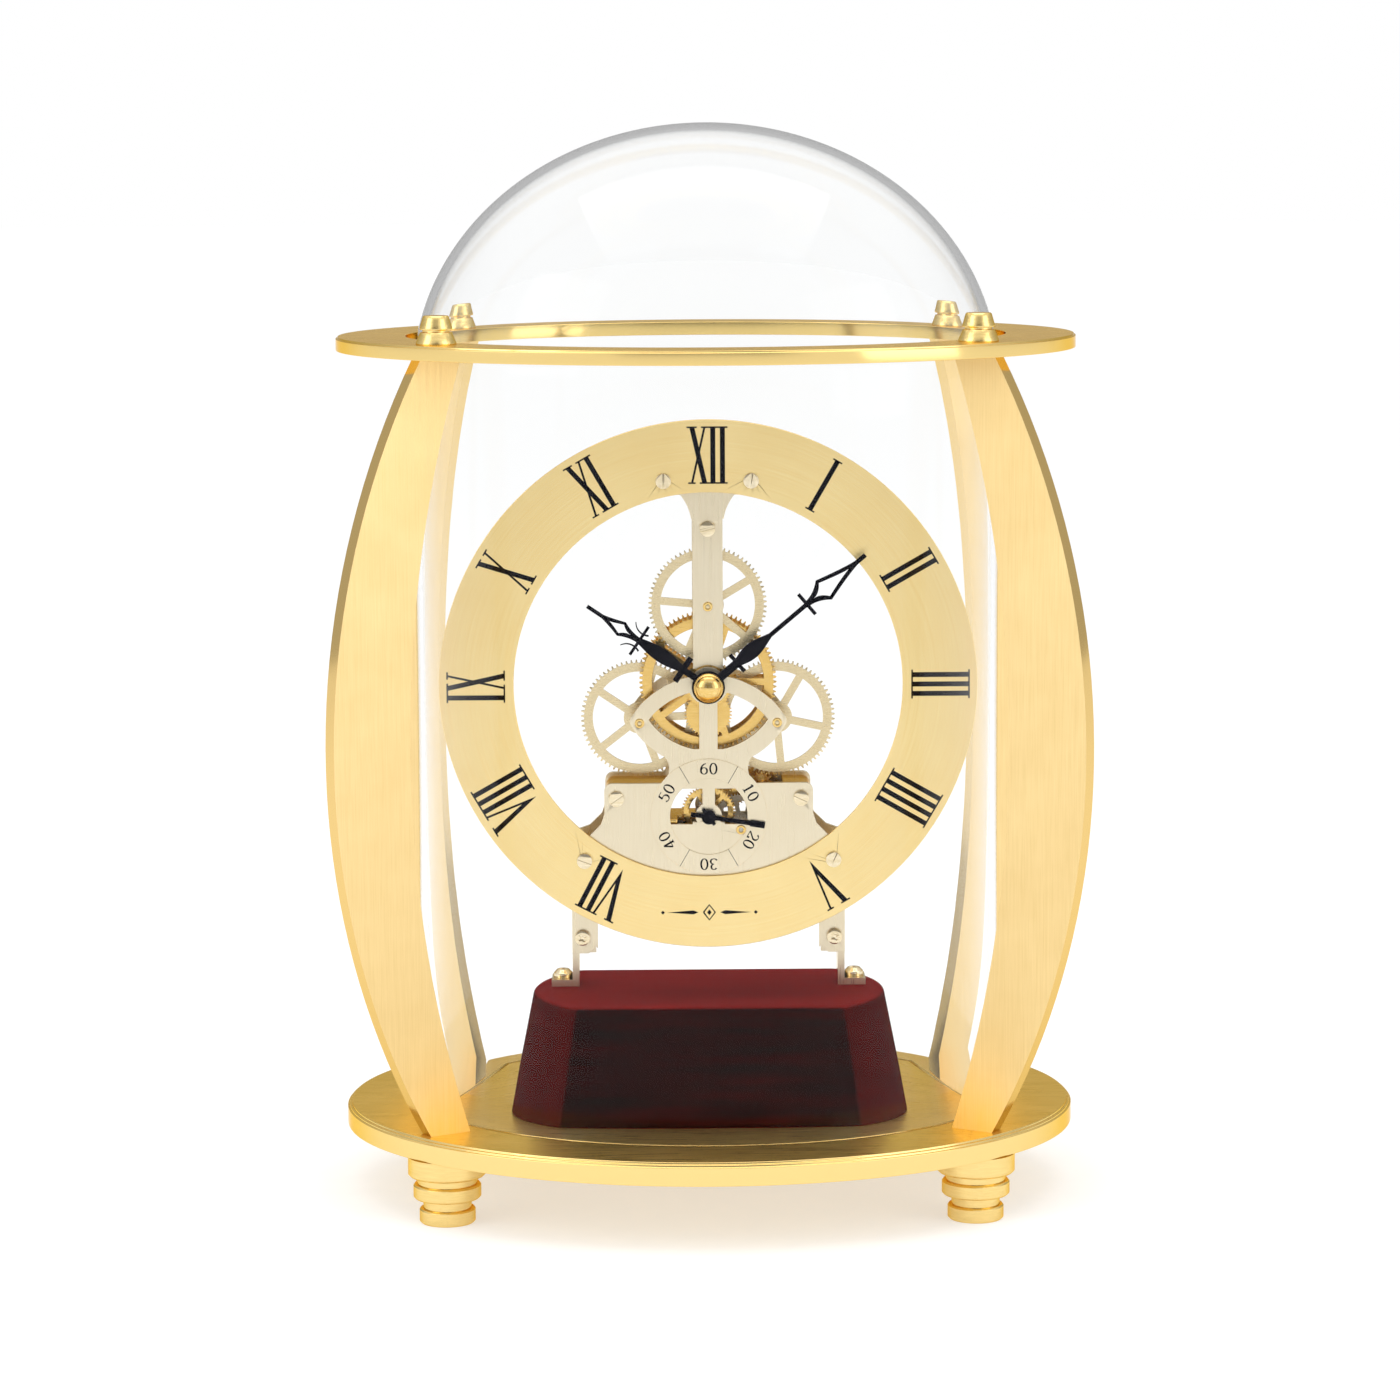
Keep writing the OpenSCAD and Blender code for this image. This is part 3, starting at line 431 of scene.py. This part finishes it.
class Print:
    """Flat printed shapes on a face that looks along -Y, gathered into one piece. In millimetres."""

    def __init__(self, centre_x, centre_z, face_y):
        self.centre = Vector((centre_x, 0, centre_z))
        self.face_y = face_y
        self.points = []
        self.faces = []

    def place(self, u, v, turn):
        """A point u to the right and v outwards from the centre, turned clockwise."""
        x = u * math.cos(turn) + v * math.sin(turn)
        z = v * math.cos(turn) - u * math.sin(turn)
        return self.centre + Vector((x, 0, z)) * MM

    def shape(self, outline, turn=0.0, thick=0.05):
        """A prism over an outline of (u, v) points, which run either way round."""
        area = sum(a[0] * b[1] - b[0] * a[1] for a, b in zip(outline, outline[1:] + outline[:1]))
        if area < 0:
            outline = outline[::-1]
        start, n = len(self.points), len(outline)
        for y in (self.face_y - thick * MM, self.face_y):
            for u, v in outline:
                point = self.place(u, v, turn)
                self.points.append((point.x, y, point.z))
        self.faces.append(tuple(start + k for k in range(n)))
        self.faces.append(tuple(start + n + k for k in range(n))[::-1])
        for k in range(n):
            m = (k + 1) % n
            self.faces.append((start + m, start + k, start + n + k, start + n + m))

    def ribbon(self, path, widths, turn=0.0, thick=0.05):
        """A stroke along a path, with a width for each of its points."""
        left, right = [], []
        for k, (u, v) in enumerate(path):
            a, b = path[max(k - 1, 0)], path[min(k + 1, len(path) - 1)]
            du, dv = b[0] - a[0], b[1] - a[1]
            reach = math.hypot(du, dv)
            half = widths[k] / 2
            left.append((u - dv / reach * half, v + du / reach * half))
            right.append((u + dv / reach * half, v - du / reach * half))
        self.shape(left + right[::-1], turn, thick)

    def finish(self, name, slot="hand_black"):
        return piece_from(name, self.points, self.faces, slot)


# ---------- glass dome ----------

WALL = 2.0 * MM
CROWN = 70.4 * MM
DOME_ROUND = 160
DOME_RISE = 44
SIDE_STEPS = 10
RIM_STEPS = 6


def oval_loop(a, b, z, n=DOME_ROUND):
    turns = [2 * math.pi * k / n for k in range(n)]
    return [Vector((a * math.cos(t), b * math.sin(t), z)) for t in turns]


def dome_side(a, b, crown, low, high):
    """Loops of one face of the glass from its rim up to just under the pole, and the pole."""
    shoulder = high - crown
    loops = [oval_loop(a, b, low + (shoulder - low) * k / SIDE_STEPS) for k in range(SIDE_STEPS)]
    for k in range(DOME_RISE):
        lift = math.pi / 2 * k / DOME_RISE
        reach = math.cos(lift)
        loops.append(oval_loop(a * reach, b * reach, shoulder + crown * math.sin(lift)))
    return loops + [[Vector((0, 0, high))]]


def glass_dome():
    low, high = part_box("glass_dome")
    a, b = high.x, high.y
    half = WALL / 2
    outer = dome_side(a, b, CROWN, low.z + half, high.z)
    inner = dome_side(a - WALL, b - WALL, CROWN - WALL, low.z + half, high.z - WALL)
    rim = []
    for k in range(1, RIM_STEPS):
        turn = math.pi * k / RIM_STEPS
        reach = half * (1 - math.cos(turn))
        rim.append(oval_loop(a - reach, b - reach, low.z + half - half * math.sin(turn)))
    dome = skin("dome_shell", inner[::-1] + rim[::-1] + outer, "dome_glass", "dome")
    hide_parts("glass_dome")


# ---------- plinth ----------

PLINTH_FLAT = 41.3 * MM
PLINTH_TAPER = 0.895
DEPTH_SHARE = 0.6
PLINTH_ROUND = 1.6 * MM
FOOT_CHAMFER = 0.3 * MM
CORNER = 0.9 * MM
ARC_STEPS = 22
CORNER_STEPS = 6


def plinth_outline(half_width, half_depth):
    """Plan of the plinth: straight front and back, bowed ends, softly rounded corners."""
    bow = half_width - PLINTH_FLAT
    radius = (half_depth**2 + bow**2) / (2 * bow)
    centre = half_width - radius
    reach = math.asin(half_depth / radius)
    trim = CORNER / radius
    arc = []
    for k in range(ARC_STEPS + 1):
        turn = -reach + trim + 2 * (reach - trim) * k / ARC_STEPS
        arc.append(Vector((centre + radius * math.cos(turn), radius * math.sin(turn), 0)))

    def corner(start, tip, end):
        steps = [k / CORNER_STEPS for k in range(1, CORNER_STEPS)]
        return [start * (1 - t) ** 2 + tip * 2 * t * (1 - t) + end * t * t for t in steps]

    straight = PLINTH_FLAT - CORNER
    tip = Vector((PLINTH_FLAT, -half_depth, 0))
    start = Vector((straight, -half_depth, 0))
    quarter = [start] + corner(start, tip, arc[0])
    mirrored = [Vector((p.x, -p.y, 0)) for p in reversed(quarter)]
    right = quarter + arc + mirrored
    left = [Vector((-p.x, -p.y, 0)) for p in right]
    return right + left


def plinth():
    low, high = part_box("plinth")
    outline = plinth_outline(high.x, high.y)
    tall = high.z - low.z - PLINTH_ROUND
    levels = [(low.z, 1.0, FOOT_CHAMFER), (low.z + FOOT_CHAMFER, 1.0, 0.0)]
    levels += [(low.z + tall * t, 1 + (PLINTH_TAPER - 1) * t, 0.0) for t in (0.1, 0.3, 0.5, 0.7, 0.9, 1)]
    for k in range(1, 7):
        turn = math.pi / 2 * k / 6
        lift = low.z + tall + PLINTH_ROUND * math.sin(turn)
        levels.append((lift, PLINTH_TAPER, PLINTH_ROUND * (1 - math.cos(turn))))
    loops = []
    for z, scale, inset in levels:
        across = scale - inset / high.x
        deep = 1 + (scale - 1) * DEPTH_SHARE - inset / high.y
        loops.append([Vector((p.x * across, p.y * deep, z)) for p in outline])
    block = skin("plinth_block", loops, "plinth_wood")
    weigh_normals(block)
    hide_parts("plinth")


# ---------- knurled nut ----------

# In millimetres; DOME_START is how far in from the edge and how far forward the dome begins
KNURLS = 44
KNURL_DEPTH = 0.08
NUT_STEPS = KNURLS * 6
DOME_START = 0.6, 1.7


def hand_nut():
    """Domed nut with a knurled edge that holds the hands."""
    low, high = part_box("hand_nut")
    middle_x, middle_z = (low.x + high.x) / 2, (low.z + high.z) / 2
    radius = (high.x - low.x) / 2 / MM
    depth = (high.y - low.y) / MM
    step, start = DOME_START
    edge = radius - KNURL_DEPTH
    profile = [(radius - 0.35, 0, 0), (edge, 0.2, KNURL_DEPTH), (edge, 1.3, KNURL_DEPTH),
               (radius - 0.5, 1.55, 0), (radius - step, start, 0)]
    for k in range(1, 9):
        turn = math.pi / 2 * k / 9
        profile.append(((radius - step) * math.cos(turn), start + (depth - start) * math.sin(turn), 0))
    loops = []
    for r, rise, cut in profile:
        loop = []
        for k in range(NUT_STEPS):
            turn = 2 * math.pi * k / NUT_STEPS
            reach = (r + cut * math.cos(KNURLS * turn)) * MM
            x, z = middle_x + reach * math.cos(turn), middle_z + reach * math.sin(turn)
            loop.append(Vector((x, high.y - rise * MM, z)))
        loops.append(loop)
    loops.append([Vector((middle_x, low.y, middle_z))])
    nut = skin("knurled_nut", loops, "nut_gold", "minute_train")
    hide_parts("hand_nut")


# ---------- printed numerals ----------

# Radii, widths and gaps in millimetres. SHIFTS moves a numeral sideways and leans it by degrees.
NUMERALS = ["XII", "I", "II", "III", "IIII", "V", None, "VII", "VIII", "IX", "X", "XI"]
INNER_R, OUTER_R = 55.3, 70.9
THICK, HAIR, SERIF = 1.35, 0.58, 0.42
PITCH = 2.6
OVERHANG = 0.7
LETTER_WIDTH = {"I": 0.0, "V": 4.7, "X": 3.5}
GAP_AFTER = {"I": PITCH, "V": 1.65, "X": 2.2}
SHIFTS = {"VII": (-1.1, -2.5)}


def bar(ink, left, right, v, turn):
    ink.shape([(left, v), (right, v), (right, v + SERIF), (left, v + SERIF)], turn, 0.035)


def stroke(ink, low_u, high_u, width, turn, low=INNER_R, high=OUTER_R, thick=0.05):
    half = width / 2
    ink.shape([(low_u - half, low), (low_u + half, low), (high_u + half, high), (high_u - half, high)],
              turn, thick)


def point_of_v(ink, left, right, turn):
    """A thick and a thin stroke that run together into a sharp point short of the inner line."""
    tip, low = left + 3.0, INNER_R + 0.8
    join = tip + 0.05, low + 0.3 * (OUTER_R - low)
    half, hair = THICK / 2 + 0.05, HAIR / 2
    ink.shape([(tip, low), join, (left + half, OUTER_R), (left - half, OUTER_R)], turn, 0.05)
    ink.shape([(tip, low), (right + hair, OUTER_R), (right - hair, OUTER_R), join], turn, 0.045)


def numeral(ink, letters, turn, shift=0.0):
    """One roman numeral, its tops outwards. Neighbouring strokes share a serif."""
    places, u = [], 0.0
    for letter in letters:
        places.append(u)
        u += LETTER_WIDTH[letter] + GAP_AFTER[letter]
    width = u - GAP_AFTER[letters[-1]]
    tops, feet = [], []
    for letter, place in zip(letters, places):
        left = place - width / 2 + shift
        right = left + LETTER_WIDTH[letter]
        if letter == "I":
            stroke(ink, left, left, THICK, turn)
            tops.append((left, left, THICK))
            feet.append((left, left, THICK))
        elif letter == "V":
            point_of_v(ink, left, right, turn)
            tops += [(left, None, THICK), (right, right, HAIR)]
        else:
            stroke(ink, right, left, THICK, turn)
            stroke(ink, left, right, HAIR, turn, thick=0.045)
            tops += [(left, None, THICK), (right, right, HAIR)]
            feet += [(left, None, HAIR), (right, right, THICK)]
    for marks, v in ((tops, OUTER_R - SERIF), (feet, INNER_R)):
        for left, right in runs(marks):
            bar(ink, left, right, v, turn)


def runs(marks):
    """Serif bars over (place, joined, width) marks: a joined mark shares its bar with the next ones."""
    spans, open_left = [], None
    for k, (place, joined, width) in enumerate(marks):
        start = place - width / 2 - OVERHANG
        open_left = start if open_left is None else open_left
        if joined is None or k == len(marks) - 1:
            spans.append((open_left, place + width / 2 + OVERHANG))
            open_left = None
    return spans


def ornament(ink):
    """A plain lozenge between two tapered bars, at six o'clock."""
    v = -(INNER_R + OUTER_R) / 2
    ink.ribbon([(-1.6, v), (0, v + 2.1), (1.6, v), (0, v - 2.1), (-1.6, v)], [0.42] * 5)
    ink.shape([(-0.62, v), (0, v + 0.8), (0.62, v), (0, v - 0.8)])
    for side in (-1, 1):
        ink.shape([(side * 3.0, v), (side * 4.4, v + 0.55), (side * 11.5, v), (side * 4.4, v - 0.55)])
        ink.shape([(side * 12.2, v), (side * 12.75, v + 0.55), (side * 13.3, v), (side * 12.75, v - 0.55)])


def dial_print():
    low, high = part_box("dial_ring")
    centre_x, centre_z = (low.x + high.x) / 2, (low.z + high.z) / 2
    ink = Print(centre_x, centre_z, low.y)
    for hour, letters in enumerate(NUMERALS):
        if letters:
            shift, lean = SHIFTS.get(letters, (0.0, 0.0))
            numeral(ink, letters, math.radians(30 * hour + lean), shift)
    ornament(ink)
    ink.finish("dial_numerals")


# ---------- printed seconds ----------

# In millimetres
DIGIT_H = 3.0
DIGIT_W = 2.1
DIGIT_GAP = 0.5
PEN_THIN, PEN_THICK = 0.2, 0.5
SECONDS_HOLE = 10.6


def arc(centre_u, centre_v, radius_u, radius_v, start, end, steps=14):
    turns = [math.radians(start + (end - start) * k / steps) for k in range(steps + 1)]
    return [(centre_u + radius_u * math.cos(t), centre_v + radius_v * math.sin(t)) for t in turns]


DIGIT_PATHS = {
    "0": [arc(0, 0.5, 0.42, 0.5, 0, 360, 28)],
    "1": [[(-0.25, 0.86), (0.02, 1.0)], [(0.02, 1.0), (0.02, 0.0)], [(-0.28, 0.02), (0.32, 0.02)]],
    "2": [arc(0, 0.72, 0.38, 0.28, 165, -35, 14) + [(-0.42, 0.03)], [(-0.42, 0.03), (0.42, 0.03)],
          [(0.42, 0.0), (0.44, 0.22)]],
    "3": [arc(-0.02, 0.75, 0.34, 0.25, 155, -90, 14), arc(-0.02, 0.25, 0.42, 0.25, 90, -155, 16)],
    "4": [[(0.16, 1.0), (-0.46, 0.28)], [(-0.46, 0.28), (0.46, 0.28)], [(0.16, 1.0), (0.16, 0.0)],
          [(-0.08, 0.02), (0.4, 0.02)]],
    "5": [[(-0.28, 0.97), (0.36, 0.97)], [(-0.28, 0.97), (-0.34, 0.55)],
          arc(-0.04, 0.32, 0.42, 0.3, 130, -150, 18)],
    "6": [arc(0.02, 0.3, 0.4, 0.3, 0, 360, 24), arc(0.36, 0.36, 0.75, 0.62, 178, 96, 12)],
}


def pen_widths(path):
    """Widths of a broad pen: thick where the stroke runs up or down, thin where it runs across."""
    widths = []
    for k in range(len(path)):
        a, b = path[max(k - 1, 0)], path[min(k + 1, len(path) - 1)]
        rise = abs(b[1] - a[1]) / max(math.hypot(b[0] - a[0], b[1] - a[1]), 1e-6)
        widths.append(PEN_THIN + (PEN_THICK - PEN_THIN) * rise**1.5)
    return widths


def digits(ink, text, radius, turn):
    advance = DIGIT_W + DIGIT_GAP
    for k, digit in enumerate(text):
        shift = (k - (len(text) - 1) / 2) * advance
        for path in DIGIT_PATHS[digit]:
            points = [(shift + u * DIGIT_W, radius + (v - 0.5) * DIGIT_H) for u, v in path]
            ink.ribbon(points, pen_widths(points), turn, 0.03)


def seconds_print():
    low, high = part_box("seconds_ring")
    ink = Print((low.x + high.x) / 2, (low.z + high.z) / 2, low.y)
    outer = (high.x - low.x) / 2 / MM
    inner = SECONDS_HOLE
    for k, text in enumerate(["60", "10", "20", "30", "40", "50"]):
        digits(ink, text, (inner + outer) / 2, math.radians(60 * k))
    for turn in (30, 150, 210, 330):
        ink.ribbon([(0, inner), (0, outer)], [0.14, 0.14], math.radians(turn), 0.025)
    ink.finish("seconds_numerals")


# ---------- studio ----------


CAMERA_PLACE = (-0.0131, -1.2147, 0.3053)
LOOKS_DOWN, YAW, ROLL = (math.radians(angle) for angle in (7.9, -0.52, -0.3))
LENS, SENSOR = 113.14, 36.0


def camera():
    """Stands in front of the clock, a little above its middle."""
    data = bpy.data.cameras.new("camera")
    data.lens, data.sensor_width = LENS, SENSOR
    data.clip_start, data.clip_end = 0.05, 60.0
    view = bpy.data.objects.new("camera", data)
    bpy.context.scene.collection.objects.link(view)
    turn = Euler((math.pi / 2 - LOOKS_DOWN, 0, YAW)).to_matrix() @ Matrix.Rotation(ROLL, 3, "Z")
    view.matrix_world = Matrix.Translation(CAMERA_PLACE) @ turn.to_4x4()
    bpy.context.scene.camera = view


def softbox(name, place, aim, size, power):
    data = bpy.data.lights.new(name, "AREA")
    data.shape = "RECTANGLE"
    data.size, data.size_y = size
    data.energy = power
    lamp = bpy.data.objects.new(name, data)
    bpy.context.scene.collection.objects.link(lamp)
    lamp.location = place
    lamp.rotation_mode = "QUATERNION"
    lamp.rotation_quaternion = (Vector(aim) - Vector(place)).to_track_quat("-Z", "Y")


FLOOR_RADII = (0.3, 1.0, 3.0, 9.0)
FLOOR_ROUND = 64


def floor():
    """A pale sheet of paper, lit from within as well as from the lamps."""
    n = FLOOR_ROUND
    points = [Vector((0, 0, 0))]
    for radius in FLOOR_RADII:
        points += oval_loop(radius, radius, 0, n)
    faces = [(0, 1 + k, 1 + (k + 1) % n) for k in range(n)]
    for ring in range(len(FLOOR_RADII) - 1):
        a, b = 1 + n * ring, 1 + n * (ring + 1)
        faces += [(a + k, b + k, b + (k + 1) % n, a + (k + 1) % n) for k in range(n)]
    mesh = bpy.data.meshes.new("floor")
    mesh.from_pydata(points, [], faces)
    sheet = bpy.data.objects.new("floor", mesh)
    bpy.context.scene.collection.objects.link(sheet)
    s = Surface("paper", specular=0.0)
    fibre = s.cloud(120.0)
    s.set(colour=s.ramp(fibre, [(0.3, (0.55, 0.55, 0.55)), (0.7, (0.58, 0.58, 0.58))]), roughness=0.9)
    s.put(s.shader, {"Emission Color": (1, 1, 1, 1), "Emission Strength": 0.5})
    mesh.materials.append(s.material)


def studio_world():
    """White to the eye, also through the glass but for a dark gap each side of the backdrop.

    What the metal and the lacquer mirror is a studio: a grey backdrop, bright walls left and right of
    the camera, a darker opening round it, and a white ceiling.
    """
    world = bpy.data.worlds.new("studio")
    bpy.context.scene.world = world
    world.use_nodes = True
    t = Tree(world.node_tree)
    x, y, z = t.parts(t.add("TexCoord").outputs["Generated"])
    side = t.math("DIVIDE", t.math("ARCTAN2", t.math("ABSOLUTE", x), y), math.pi)
    grey = {tone: (tone, tone, tone) for tone in (0.1, 0.32, 0.52, 0.56, 0.7, 0.9, 1.0)}
    through = t.ramp(side, [(0.07, grey[1.0]), (0.12, grey[0.1]), (0.26, grey[0.1]), (0.34, grey[0.9])])
    mirrored = t.ramp(side, [(0.2, grey[0.52]), (0.4, grey[0.56]), (0.5, grey[0.7]), (0.6, grey[1.0]),
                             (0.84, grey[1.0]), (0.91, grey[0.32])])
    above = t.remap(z, 0.0, 1.0, 0.35, 0.75, smooth=True)
    path = t.add("LightPath").outputs
    bounces = t.math("ADD", path["Glossy Depth"], path["Diffuse Depth"])
    bounced = t.math("GREATER_THAN", bounces, 0.5)
    lit = t.blend(above, t.blend(bounced, through, mirrored), (1, 1, 1, 1))
    colour = t.blend(path["Is Camera Ray"], lit, (1, 1, 1, 1))
    t.put(t.tree.nodes["Background"], {"Color": colour, "Strength": 1.0})


def lights():
    softbox("key_left", (-1.1, -0.75, 0.75), (0, 0, 0.15), (0.8, 1.0), 3.8)
    softbox("fill_right", (1.1, -0.75, 0.6), (0, 0, 0.15), (0.8, 1.0), 3.0)
    softbox("overhead", (0, -0.15, 1.25), (0, 0, 0.15), (1.2, 0.9), 5.0)


def main():
    bpy.context.scene.view_settings.view_transform = "Standard"
    camera()
    dress_frame()
    soften_frame()
    glass_dome()
    plinth()
    hand_nut()
    dial_print()
    seconds_print()
    floor()
    studio_world()
    lights()


main()
